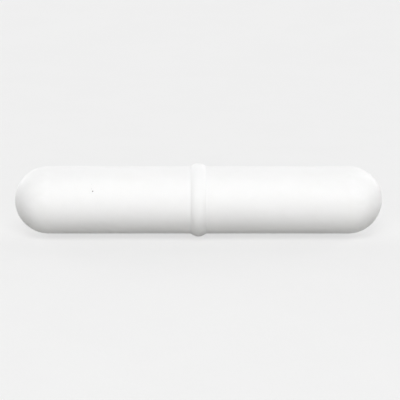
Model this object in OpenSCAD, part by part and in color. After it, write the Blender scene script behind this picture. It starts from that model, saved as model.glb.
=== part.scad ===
// Magnetic stir bar with a pivot ring.
//
// A round bar magnet is sealed inside a smooth PTFE jacket. The jacket is one moulding: a barrel with
// domed ends, and a raised ring round its middle. The bar spins on the ring's crest at the bottom of a
// vessel, so the ring keeps the barrel off the glass. The bar lies along X, centred on the origin.

/* [Bar] */
// Overall length, from tip to tip
bar_length = 50.8; // [34:0.1:80]
// Diameter of the barrel, and of the domes that end it
bar_diameter = 9.35; // [8:0.05:12.7]

/* [Pivot ring] */
// Width of the ring at the barrel's surface
ring_width = 2.05; // [1.6:0.05:6]
// Height of the ring's crest above the barrel
ring_height = 0.4; // [0.2:0.05:0.7]
// Radius of the fillet where the ring leaves the barrel
root_fillet = 0.15; // [0.05:0.01:0.4]

/* [Jacket] */
// Thickness of the jacket beside the magnet
side_wall = 1.5; // [0.8:0.05:2.5]
// Thickness of the jacket from the magnet's end to the tip
end_wall = 6.35; // [4:0.05:12]

/* [Magnet] */
// Chamfer round each end of the magnet
magnet_chamfer = 0.4; // [0.1:0.05:1]
// Clearance between the magnet and the jacket that is sintered round it
magnet_clearance = 0.02; // [0.01:0.01:0.1]

/* [Hidden] */

$fa = 3;
$fs = 0.1;

bar_radius = bar_diameter / 2;
// Distance from the middle of the bar to the centre of each dome
dome_centre = bar_length / 2 - bar_radius;

// The ring's crown is one arc through its crest and both edges
crown_radius = (pow(ring_width / 2, 2) + pow(ring_height, 2)) / (2 * ring_height);
crown_centre = bar_radius + ring_height - crown_radius;

// Each root fillet's circle rests on the barrel and touches the crown
fillet_level = bar_radius + root_fillet;
fillet_reach = crown_radius + root_fillet;
fillet_offset = sqrt(pow(fillet_reach, 2) - pow(fillet_level - crown_centre, 2));
fillet_top = crown_centre + (fillet_level - crown_centre) * crown_radius / fillet_reach;
ring_base = bar_radius - root_fillet;

cavity_radius = bar_radius - side_wall;
cavity_length = bar_length - 2 * end_wall;

// The sections below have the distance from the bar's axis as x, and the place along it as y.

// Half section of the plain pill: the barrel with a dome at each end
module pill_section() {
    intersection() {
        translate([0, -bar_length / 2]) square([bar_radius, bar_length]);
        union() {
            translate([0, -dome_centre]) square([bar_radius, 2 * dome_centre]);
            for (side = [-1, 1]) {
                translate([0, side * dome_centre]) circle(r = bar_radius);
            }
        }
    }
}

// Section of the pivot ring: a rounded crown with a fillet at each root
module ring_section() {
    intersection() {
        translate([crown_centre, 0]) circle(r = crown_radius);
        translate([ring_base, -ring_width]) square([2 * ring_height + root_fillet, 2 * ring_width]);
    }
    difference() {
        translate([ring_base, -fillet_offset]) square([fillet_top - ring_base, 2 * fillet_offset]);
        for (side = [-1, 1]) {
            translate([fillet_level, side * fillet_offset]) circle(r = root_fillet);
        }
    }
}

// A rod along X with chamfered ends
module chamfered_rod(radius, length, chamfer) {
    rotate([0, 90, 0]) rotate_extrude() {
        polygon([
            [0, -length / 2],
            [radius - chamfer, -length / 2],
            [radius, -length / 2 + chamfer],
            [radius, length / 2 - chamfer],
            [radius - chamfer, length / 2],
            [0, length / 2]
        ]);
    }
}

// The white moulding, closed all round the magnet
module jacket() {
    color("#F3F3F1") difference() {
        rotate([0, 90, 0]) rotate_extrude() {
            pill_section();
            ring_section();
        }
        chamfered_rod(cavity_radius, cavity_length, magnet_chamfer);
    }
}

// The cast and ground magnet, which fills the jacket's cavity
module magnet() {
    color("#7E8184") {
        chamfered_rod(
            cavity_radius - magnet_clearance,
            cavity_length - 2 * magnet_clearance,
            magnet_chamfer
        );
    }
}

jacket();
magnet();
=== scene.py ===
"""Looks of a magnetic stir bar: a white PTFE jacket with a pivot ring, sealed round a rod magnet.

The bar lies along X on a pale floor, centred on the origin. Every size is in metres, in the frame
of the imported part. The camera stands on the -Y side and looks along +Y, slightly down.
"""

import math

import bpy
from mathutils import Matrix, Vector

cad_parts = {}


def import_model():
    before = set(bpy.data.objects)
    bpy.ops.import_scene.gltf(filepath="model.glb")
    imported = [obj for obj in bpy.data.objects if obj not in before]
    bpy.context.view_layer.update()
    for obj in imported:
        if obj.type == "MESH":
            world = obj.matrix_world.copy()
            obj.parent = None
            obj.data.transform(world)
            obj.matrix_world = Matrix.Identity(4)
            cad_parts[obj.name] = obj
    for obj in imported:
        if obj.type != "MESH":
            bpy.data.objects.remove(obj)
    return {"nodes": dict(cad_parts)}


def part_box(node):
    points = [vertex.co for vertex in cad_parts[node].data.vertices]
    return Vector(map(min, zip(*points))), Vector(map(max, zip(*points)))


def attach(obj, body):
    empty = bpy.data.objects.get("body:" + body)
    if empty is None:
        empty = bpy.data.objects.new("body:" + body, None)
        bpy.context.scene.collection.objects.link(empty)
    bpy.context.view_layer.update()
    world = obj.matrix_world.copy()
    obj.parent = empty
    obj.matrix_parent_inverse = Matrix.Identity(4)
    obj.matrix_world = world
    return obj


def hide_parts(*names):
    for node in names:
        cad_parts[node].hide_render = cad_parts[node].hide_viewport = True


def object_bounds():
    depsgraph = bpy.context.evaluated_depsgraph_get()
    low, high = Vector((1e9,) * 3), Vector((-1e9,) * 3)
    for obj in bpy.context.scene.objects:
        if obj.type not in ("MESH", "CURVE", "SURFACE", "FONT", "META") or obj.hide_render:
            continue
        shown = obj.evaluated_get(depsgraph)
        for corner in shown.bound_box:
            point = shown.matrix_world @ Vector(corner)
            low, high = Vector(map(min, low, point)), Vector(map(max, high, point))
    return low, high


MM = 0.001


def main():
    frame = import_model()
    cad_box = [list(corner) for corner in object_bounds()]
    cloud = cloud_group()
    grain = grain_group()
    jacket = turn_jacket()
    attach(jacket, "root")
    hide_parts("jacket")
    dress(jacket, white_ptfe(cloud, grain))
    dress(frame["nodes"]["magnet"], ground_alnico(cloud, grain))
    lay_floor(cad_box[0][2], cloud, grain)
    light_studio()
    place_camera()


def dress(piece, material):
    """Gives a piece one material in place of those that it came with."""
    piece.data.materials.clear()
    piece.data.materials.append(material)


# Jacket

BAR_LENGTH = 50.8 * MM
BARREL_RADIUS = 4.675 * MM
RING_WIDTH = 2.05 * MM
RING_HEIGHT = 0.4 * MM
ROOT_FILLET = 0.15 * MM
SIDE_WALL = 1.5 * MM
END_WALL = 6.35 * MM
MAGNET_CHAMFER = 0.4 * MM

# Facets round the axis, and steps along each stretch of half the profile.
SEGMENTS = 144
CROWN_STEPS = 10
FILLET_STEPS = 8
BARREL_STEPS = 12
DOME_STEPS = 36

# How close to its ends the barrel is held flat, and the angle in degrees from which edges look sharp.
BARREL_HOLD = 0.1 * MM
SHARP_FROM = 30


def turn_jacket():
    """The moulded jacket, turned round X: its skin, and the cavity that holds the magnet."""
    points, faces = [], []
    for profile in (skin_profile(), cavity_profile()):
        add_turned_shell(points, faces, profile)
    mesh = bpy.data.meshes.new("jacket_skin")
    mesh.from_pydata(points, [], faces)
    mesh.shade_smooth()
    mesh.set_sharp_from_angle(angle=math.radians(SHARP_FROM))
    jacket = bpy.data.objects.new("jacket_skin", mesh)
    bpy.context.scene.collection.objects.link(jacket)
    return jacket


def skin_profile():
    """The outside, from the left tip to the right one, as places along X and radii."""
    crown_radius = ((RING_WIDTH / 2) ** 2 + RING_HEIGHT**2) / (2 * RING_HEIGHT)
    crown_level = BARREL_RADIUS + RING_HEIGHT - crown_radius
    fillet_level = BARREL_RADIUS + ROOT_FILLET
    fillet_rise = fillet_level - crown_level
    fillet_offset = math.sqrt((crown_radius + ROOT_FILLET) ** 2 - fillet_rise**2)
    touch = math.degrees(math.atan2(fillet_rise, fillet_offset))
    dome_centre = BAR_LENGTH / 2 - BARREL_RADIUS
    crown = arc(0, crown_level, crown_radius, 90, touch, CROWN_STEPS)
    fillet = arc(fillet_offset, fillet_level, ROOT_FILLET, 180 + touch, 270, FILLET_STEPS)
    barrel = straight(fillet_offset, dome_centre, BARREL_STEPS)
    dome = arc(dome_centre, 0, BARREL_RADIUS, 90, 0, DOME_STEPS)
    right = crown[:-1] + fillet + barrel + dome[:-1] + [(BAR_LENGTH / 2, 0)]
    left = [(-along, radius) for along, radius in reversed(right[1:])]
    return left + right


def arc(centre, level, radius, start, end, steps):
    """Points along an arc of a profile, with its angles in degrees."""
    points = []
    for step in range(steps + 1):
        angle = math.radians(start + (end - start) * step / steps)
        points.append((centre + radius * math.cos(angle), level + radius * math.sin(angle)))
    return points


def straight(start, end, steps):
    """Points on the barrel between two arcs, with a close one at each end to hold its flatness."""
    inner = [start + (end - start) * step / steps for step in range(1, steps)]
    return [(along, BARREL_RADIUS) for along in [start + BARREL_HOLD] + inner + [end - BARREL_HOLD]]


def cavity_profile():
    """The chamfered hollow round the magnet, run from right to left so that it faces inwards."""
    radius = BARREL_RADIUS - SIDE_WALL
    half = BAR_LENGTH / 2 - END_WALL
    right = [(half, 0), (half, radius - MAGNET_CHAMFER), (half - MAGNET_CHAMFER, radius)]
    return right + [(-along, radius) for along, radius in reversed(right)]


def add_turned_shell(points, faces, profile):
    """Turns a profile that starts and ends on the axis, and adds its points and faces to a mesh's."""
    first_tip = len(points)
    points.append((profile[0][0], 0, 0))
    for along, radius in profile[1:-1]:
        for step in range(SEGMENTS):
            turn = 2 * math.pi * step / SEGMENTS
            points.append((along, radius * math.cos(turn), radius * math.sin(turn)))
    last_tip = len(points)
    points.append((profile[-1][0], 0, 0))
    rows = [
        [first_tip + 1 + row * SEGMENTS + step for step in range(SEGMENTS)]
        for row in range(len(profile) - 2)
    ]
    for step in range(SEGMENTS):
        after = (step + 1) % SEGMENTS
        faces.append((first_tip, rows[0][after], rows[0][step]))
        for row, beyond in zip(rows, rows[1:]):
            faces.append((row[step], row[after], beyond[after], beyond[step]))
        faces.append((rows[-1][step], rows[-1][after], last_tip))


# Nodes


def plug(tree, socket, value):
    """Feeds a socket from another node's output, or sets it to a plain value."""
    if isinstance(value, bpy.types.NodeSocket):
        tree.links.new(value, socket)
    else:
        socket.default_value = value


def calc(tree, operation, *values):
    """A Math node: the result of an operation on one to three numbers."""
    node = tree.nodes.new("ShaderNodeMath")
    node.operation = operation
    for socket, value in zip(node.inputs, values):
        plug(tree, socket, value)
    return node.outputs["Value"]


def vector_calc(tree, operation, *values):
    """A Vector Math node. Operations that measure give a number, and the others a vector."""
    node = tree.nodes.new("ShaderNodeVectorMath")
    node.operation = operation
    for socket, value in zip(node.inputs, values):
        plug(tree, socket, value)
    measures = operation in ("LENGTH", "DISTANCE")
    return node.outputs["Value" if measures else "Vector"]


def ramp(tree, value, from_low, from_high, to_low=0.0, to_high=1.0):
    """Takes a value smoothly from one range to another, and holds it at the range's ends."""
    node = tree.nodes.new("ShaderNodeMapRange")
    node.interpolation_type = "SMOOTHSTEP"
    for name, number in (
        ("Value", value),
        ("From Min", from_low),
        ("From Max", from_high),
        ("To Min", to_low),
        ("To Max", to_high),
    ):
        plug(tree, node.inputs[name], number)
    return node.outputs["Result"]


def blend_colours(tree, share, first, second):
    """Mixes two colours: share 0 gives the first, and 1 the second."""
    node = tree.nodes.new("ShaderNodeMix")
    node.data_type = "RGBA"
    colours = [socket for socket in node.inputs if socket.type == "RGBA"]
    plug(tree, node.inputs["Factor"], share)
    plug(tree, colours[0], first)
    plug(tree, colours[1], second)
    return next(socket for socket in node.outputs if socket.type == "RGBA")


def noise(tree, position, size, detail=2.0, roughness=0.5):
    """Soft random patches of about the given size, 0 to 1."""
    node = tree.nodes.new("ShaderNodeTexNoise")
    node.inputs["Scale"].default_value = 1.0
    node.inputs["Detail"].default_value = detail
    node.inputs["Roughness"].default_value = roughness
    tree.links.new(vector_calc(tree, "DIVIDE", position, size), node.inputs["Vector"])
    return node.outputs["Fac"]


def object_position(tree):
    return tree.nodes.new("ShaderNodeTexCoord").outputs["Object"]


def bump(tree, height, depth):
    """A normal from a height of 0 to 1, where 1 stands a given depth above 0."""
    node = tree.nodes.new("ShaderNodeBump")
    node.inputs["Distance"].default_value = depth
    tree.links.new(height, node.inputs["Height"])
    return node.outputs["Normal"]


def new_group(name, inputs, outputs):
    """A shader node group with named sockets, given as pairs of a name and a socket kind."""
    group = bpy.data.node_groups.new(name, "ShaderNodeTree")
    for socket_name, kind in inputs:
        group.interface.new_socket(socket_name, in_out="INPUT", socket_type="NodeSocket" + kind)
    for socket_name, kind in outputs:
        group.interface.new_socket(socket_name, in_out="OUTPUT", socket_type="NodeSocket" + kind)
    entry = group.nodes.new("NodeGroupInput")
    result = group.nodes.new("NodeGroupOutput")
    return group, entry.outputs, result.inputs


def place_group(tree, group, **values):
    """Puts a group in a material. Its inputs are named in the call, with _ for a space."""
    node = tree.nodes.new("ShaderNodeGroup")
    node.node_tree = group
    for name, value in values.items():
        plug(tree, node.inputs[name.replace("_", " ")], value)
    return node.outputs


def new_material(name):
    material = bpy.data.materials.new(name)
    material.use_nodes = True
    return material, material.node_tree, material.node_tree.nodes["Principled BSDF"]


# Effects that the materials share

# Levels of the noise between which clouds thicken, and between which the gloss turns rough.
CLOUD_FROM = 0.32
CLOUD_TO = 0.68
ROUGH_FROM = 0.3
ROUGH_TO = 0.7

# The coarse grain's size against the fine grain's, and the fine grain's share of the height.
COARSE_GRAIN = (7.0, 7.0, 7.0)
FINE_SHARE = 0.6


def cloud_group():
    """Slow, cloudy unevenness of tone, between a pale and a deep colour."""
    group, entry, result = new_group(
        "cloudy_tone",
        inputs=[
            ("Position", "Vector"),
            ("Patch Size", "Vector"),
            ("Pale", "Color"),
            ("Deep", "Color"),
        ],
        outputs=[("Tone", "Color")],
    )
    broad = noise(group, entry["Position"], entry["Patch Size"], detail=3.0, roughness=0.55)
    cloud = ramp(group, broad, CLOUD_FROM, CLOUD_TO)
    tone = blend_colours(group, cloud, entry["Pale"], entry["Deep"])
    group.links.new(tone, result["Tone"])
    return group


def grain_group():
    """Fine grain of a surface: a height, and a roughness that follows its coarser part."""
    group, entry, result = new_group(
        "fine_grain",
        inputs=[
            ("Position", "Vector"),
            ("Grain Size", "Vector"),
            ("Smooth", "Float"),
            ("Rough", "Float"),
        ],
        outputs=[("Height", "Float"), ("Roughness", "Float")],
    )
    fine = noise(group, entry["Position"], entry["Grain Size"], roughness=0.6)
    coarse_size = vector_calc(group, "MULTIPLY", entry["Grain Size"], COARSE_GRAIN)
    coarse = noise(group, entry["Position"], coarse_size)
    fine_share = calc(group, "MULTIPLY", fine, FINE_SHARE)
    coarse_share = calc(group, "MULTIPLY", coarse, 1 - FINE_SHARE)
    height = calc(group, "ADD", fine_share, coarse_share)
    gloss = ramp(group, coarse, ROUGH_FROM, ROUGH_TO, entry["Smooth"], entry["Rough"])
    group.links.new(height, result["Height"])
    group.links.new(gloss, result["Roughness"])
    return group


# PTFE jacket

PTFE_PALE = (0.95, 0.949, 0.943, 1)
PTFE_DEEP = (0.915, 0.914, 0.906, 1)
OVER_MAGNET = (0.925, 0.924, 0.917, 1)
PTFE_PATCH = (2.2 * MM, 1.6 * MM, 1.6 * MM)
PTFE_GRAIN = (0.16 * MM, 0.16 * MM, 0.16 * MM)
PTFE_IOR = 1.35
PTFE_SMOOTH = 0.56
PTFE_ROUGH = 0.66
PTFE_RELIEF = 0.02 * MM
PTFE_SCATTER = 0.35 * MM

# Heights of the grain between which it deepens the tone, by how much, and how strongly and how far
# from the barrel's thin wall the magnet greys it.
MOTTLE_FROM = 0.4
MOTTLE_TO = 0.62
MOTTLE_SHARE = 0.5
THIN_WALL_SHARE = 0.7
THIN_WALL_FADE = 1.0 * MM

# A speck is solid out to the first share of its radius, and gone at the second.
DUST = (0.1, 0.09, 0.08, 1)
DUST_WOBBLE = (0.05 * MM, 0.05 * MM, 0.05 * MM)
SPECK_CORE = 0.7
SPECK_EDGE = 1.1

# Specks of dust pressed into the skin: place along the bar, turn round it in degrees from the -Y
# side towards the top, radius and darkness.
SPECKS = (
    (-14.43 * MM, 29.3, 0.085 * MM, 1.0),
    (-14.58 * MM, 33.6, 0.07 * MM, 0.2),
    (-14.59 * MM, 41.9, 0.07 * MM, 0.1),
)


def white_ptfe(cloud, grain):
    """Satin, faintly cloudy white that lets a little light through, greyer over the magnet."""
    material, tree, shader = new_material("white_ptfe")
    position = object_position(tree)
    clouds = place_group(
        tree, cloud, Position=position, Patch_Size=PTFE_PATCH, Pale=PTFE_PALE, Deep=PTFE_DEEP
    )
    grains = place_group(
        tree, grain, Position=position, Grain_Size=PTFE_GRAIN, Smooth=PTFE_SMOOTH, Rough=PTFE_ROUGH
    )
    mottle = ramp(tree, grains["Height"], MOTTLE_FROM, MOTTLE_TO, 0.0, MOTTLE_SHARE)
    mottled = blend_colours(tree, mottle, clouds["Tone"], PTFE_DEEP)
    thin_wall = calc(tree, "MULTIPLY", magnet_shade(tree, position), THIN_WALL_SHARE)
    greyed = blend_colours(tree, thin_wall, mottled, OVER_MAGNET)
    skin = blend_colours(tree, dust_specks(tree, position), greyed, DUST)
    tree.links.new(skin, shader.inputs["Base Color"])
    tree.links.new(grains["Roughness"], shader.inputs["Roughness"])
    tree.links.new(bump(tree, grains["Height"], PTFE_RELIEF), shader.inputs["Normal"])
    shader.inputs["IOR"].default_value = PTFE_IOR
    shader.inputs["Subsurface Weight"].default_value = 1.0
    shader.inputs["Subsurface Radius"].default_value = (1.0, 1.0, 1.0)
    shader.inputs["Subsurface Scale"].default_value = PTFE_SCATTER
    return material


def magnet_shade(tree, position):
    """1 where the wall over the dark magnet is thin, falling to 0 where the PTFE is thick."""
    half_length, _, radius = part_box("magnet")[1]
    parts = tree.nodes.new("ShaderNodeSeparateXYZ")
    tree.links.new(position, parts.inputs["Vector"])
    from_axis = vector_calc(tree, "LENGTH", vector_calc(tree, "MULTIPLY", position, (0.0, 1.0, 1.0)))
    out = calc(tree, "MAXIMUM", calc(tree, "SUBTRACT", from_axis, radius), 0.0)
    along = calc(tree, "SUBTRACT", calc(tree, "ABSOLUTE", parts.outputs["X"]), half_length)
    along = calc(tree, "MAXIMUM", along, 0.0)
    squares = calc(tree, "ADD", calc(tree, "POWER", out, 2.0), calc(tree, "POWER", along, 2.0))
    cover = calc(tree, "SQRT", squares)
    wall = BARREL_RADIUS - radius
    return ramp(tree, cover, wall, wall + THIN_WALL_FADE, 1.0, 0.0)


def dust_specks(tree, position):
    """Each speck's darkness inside it, with a soft, uneven edge, and 0 elsewhere."""
    wobble = calc(tree, "SUBTRACT", noise(tree, position, DUST_WOBBLE), 0.5)
    ragged = calc(tree, "MULTIPLY", wobble, DUST_WOBBLE[0])
    mask = 0.0
    for along, turn, radius, darkness in SPECKS:
        angle = math.radians(turn)
        centre = (along, -BARREL_RADIUS * math.cos(angle), BARREL_RADIUS * math.sin(angle))
        reach = calc(tree, "ADD", vector_calc(tree, "DISTANCE", position, centre), ragged)
        speck = ramp(tree, reach, SPECK_CORE * radius, SPECK_EDGE * radius, darkness, 0.0)
        mask = calc(tree, "MAXIMUM", speck, mask)
    return mask


# Magnet

ALNICO_PALE = (0.44, 0.43, 0.42, 1)
ALNICO_DEEP = (0.33, 0.325, 0.32, 1)
ALNICO_PATCH = (1.5 * MM, 1.5 * MM, 1.5 * MM)
ALNICO_SMOOTH = 0.34
ALNICO_ROUGH = 0.5
GRINDING = (0.03 * MM, 2.5 * MM, 2.5 * MM)
GRINDING_DEPTH = 0.006 * MM


def ground_alnico(cloud, grain):
    """Cast magnet alloy, ground round its length, so its lines run round it."""
    material, tree, shader = new_material("ground_alnico")
    position = object_position(tree)
    clouds = place_group(
        tree, cloud, Position=position, Patch_Size=ALNICO_PATCH, Pale=ALNICO_PALE, Deep=ALNICO_DEEP
    )
    lines = place_group(
        tree, grain, Position=position, Grain_Size=GRINDING, Smooth=ALNICO_SMOOTH, Rough=ALNICO_ROUGH
    )
    tree.links.new(clouds["Tone"], shader.inputs["Base Color"])
    tree.links.new(lines["Roughness"], shader.inputs["Roughness"])
    tree.links.new(bump(tree, lines["Height"], GRINDING_DEPTH), shader.inputs["Normal"])
    shader.inputs["Metallic"].default_value = 1.0
    return material


# Studio

FLOOR_SIZE = 4.0

# The floor's tone and its deeper patches where they are seen, the colour that it throws back at the
# bar, and the share of its paleness that is its own.
FLOOR_TONE = (0.888, 0.888, 0.887, 1)
FLOOR_DEEP = (0.882, 0.882, 0.881, 1)
FLOOR_BOUNCE = (0.42, 0.417, 0.405, 1)
FLOOR_GLOW = 0.72

PAPER_PATCH = (12 * MM, 12 * MM, 12 * MM)
PAPER_GRAIN = (0.25 * MM, 0.25 * MM, 0.25 * MM)
PAPER_SMOOTH = 0.88
PAPER_ROUGH = 0.98
PAPER_RELIEF = 0.03 * MM
PAPER_SHEEN = 0.1


def seen_directly(tree):
    """1 for the camera's rays and for those mirrored or let through on their way, else 0."""
    path = tree.nodes.new("ShaderNodeLightPath").outputs
    mirrored = calc(tree, "MAXIMUM", path["Is Glossy Ray"], path["Is Transmission Ray"])
    return calc(tree, "MAXIMUM", path["Is Camera Ray"], mirrored)


def lay_floor(level, cloud, grain):
    """A wide floor that the bar rests on."""
    half = FLOOR_SIZE / 2
    corners = [(-half, -half, level), (half, -half, level), (half, half, level), (-half, half, level)]
    mesh = bpy.data.meshes.new("floor")
    mesh.from_pydata(corners, [], [(0, 1, 2, 3)])
    floor = bpy.data.objects.new("floor", mesh)
    bpy.context.scene.collection.objects.link(floor)
    dress(floor, pale_floor(cloud, grain))


def pale_floor(cloud, grain):
    """Matt paper. Part of its paleness is its own where it is seen, so that shadows stay faint."""
    material, tree, shader = new_material("pale_floor")
    position = object_position(tree)
    clouds = place_group(
        tree, cloud, Position=position, Patch_Size=PAPER_PATCH, Pale=FLOOR_TONE, Deep=FLOOR_DEEP
    )
    fibres = place_group(
        tree,
        grain,
        Position=position,
        Grain_Size=PAPER_GRAIN,
        Smooth=PAPER_SMOOTH,
        Rough=PAPER_ROUGH,
    )
    seen = seen_directly(tree)
    tone = blend_colours(tree, seen, FLOOR_BOUNCE, clouds["Tone"])
    tree.links.new(tone, shader.inputs["Base Color"])
    tree.links.new(fibres["Roughness"], shader.inputs["Roughness"])
    tree.links.new(bump(tree, fibres["Height"], PAPER_RELIEF), shader.inputs["Normal"])
    shader.inputs["Specular IOR Level"].default_value = PAPER_SHEEN
    glow = tree.nodes.new("ShaderNodeEmission")
    tree.links.new(clouds["Tone"], glow.inputs["Color"])
    mixed = tree.nodes.new("ShaderNodeMixShader")
    tree.links.new(calc(tree, "MULTIPLY", seen, FLOOR_GLOW), mixed.inputs["Fac"])
    tree.links.new(shader.outputs["BSDF"], mixed.inputs[1])
    tree.links.new(glow.outputs["Emission"], mixed.inputs[2])
    tree.links.new(mixed.outputs["Shader"], tree.nodes["Material Output"].inputs["Surface"])
    return material


# Soft lamps round the bar: name, elevation and azimuth in degrees, power in watts.
SOFTBOXES = (
    ("front_left", 8, -30, 0.82),
    ("front_right", 8, 30, 1.25),
    ("front_high", 50, 0, 2.44),
    ("side_left", 25, -110, 0.48),
    ("side_right", 25, 110, 0.8),
    ("rear_left", 12, -140, 1.58),
    ("rear_right", 12, 140, 1.12),
    ("rear_high", 45, 180, 0.6),
)
SOFTBOX_DISTANCE = 0.6
SOFTBOX_SIZE = 0.34


def softbox(name, elevation, azimuth, power):
    """A square area light aimed at the bar. Azimuth 0 is the camera's side, growing to its right."""
    data = bpy.data.lights.new(name, "AREA")
    data.shape = "SQUARE"
    data.size = SOFTBOX_SIZE
    data.energy = power
    lamp = bpy.data.objects.new(name, data)
    bpy.context.scene.collection.objects.link(lamp)
    up, turn = math.radians(elevation), math.radians(azimuth)
    away = Vector((math.sin(turn) * math.cos(up), -math.cos(turn) * math.cos(up), math.sin(up)))
    lamp.location = away * SOFTBOX_DISTANCE
    lamp.rotation_euler = away.to_track_quat("Z", "Y").to_euler()
    lamp.visible_camera = False


def light_studio():
    """The softboxes, and a world that has the floor's tone where it is seen but lights nothing."""
    for name, elevation, azimuth, power in SOFTBOXES:
        softbox(name, elevation, azimuth, power)
    world = bpy.data.worlds.new("studio")
    bpy.context.scene.world = world
    world.use_nodes = True
    tree = world.node_tree
    background = tree.nodes["Background"]
    strength = calc(tree, "MULTIPLY", seen_directly(tree), FLOOR_TONE[0])
    tree.links.new(strength, background.inputs["Strength"])
    background.inputs["Color"].default_value = (1, 1, 1, 1)
    bpy.context.scene.view_settings.view_transform = "Standard"


# Camera

CAMERA_ELEVATION = 15
CAMERA_DISTANCE = 300 * MM
CAMERA_NEAR = 10 * MM
CAMERA_FAR = 20.0
SENSOR = 36

# Framing, in pixels of the square frame: its width, the bar's outline, and the aim from the middle.
FRAME_PX = 400
OUTLINE_PX = 366.8
AIM_RIGHT_PX = 1.6
AIM_UP_PX = -0.25


def outline_length():
    """The bar's length as the camera sees it: the domes reach a little past the tips."""
    dome_centre = BAR_LENGTH / 2 - BARREL_RADIUS
    towards = math.atan2(dome_centre, CAMERA_DISTANCE)
    spread = math.asin(BARREL_RADIUS / math.hypot(dome_centre, CAMERA_DISTANCE))
    return 2 * CAMERA_DISTANCE * math.tan(towards + spread)


def place_camera():
    pixel = outline_length() / OUTLINE_PX
    data = bpy.data.cameras.new("camera")
    data.sensor_width = SENSOR
    data.lens = SENSOR * CAMERA_DISTANCE / (FRAME_PX * pixel)
    data.clip_start = CAMERA_NEAR
    data.clip_end = CAMERA_FAR
    camera = bpy.data.objects.new("camera", data)
    bpy.context.scene.collection.objects.link(camera)
    tilt = math.radians(CAMERA_ELEVATION)
    away = Vector((0, -math.cos(tilt), math.sin(tilt)))
    up = Vector((0, math.sin(tilt), math.cos(tilt)))
    aim = Vector((AIM_RIGHT_PX * pixel, 0, 0)) + up * AIM_UP_PX * pixel
    camera.location = aim + away * CAMERA_DISTANCE
    camera.rotation_euler = (math.pi / 2 - tilt, 0, 0)
    bpy.context.scene.camera = camera


main()
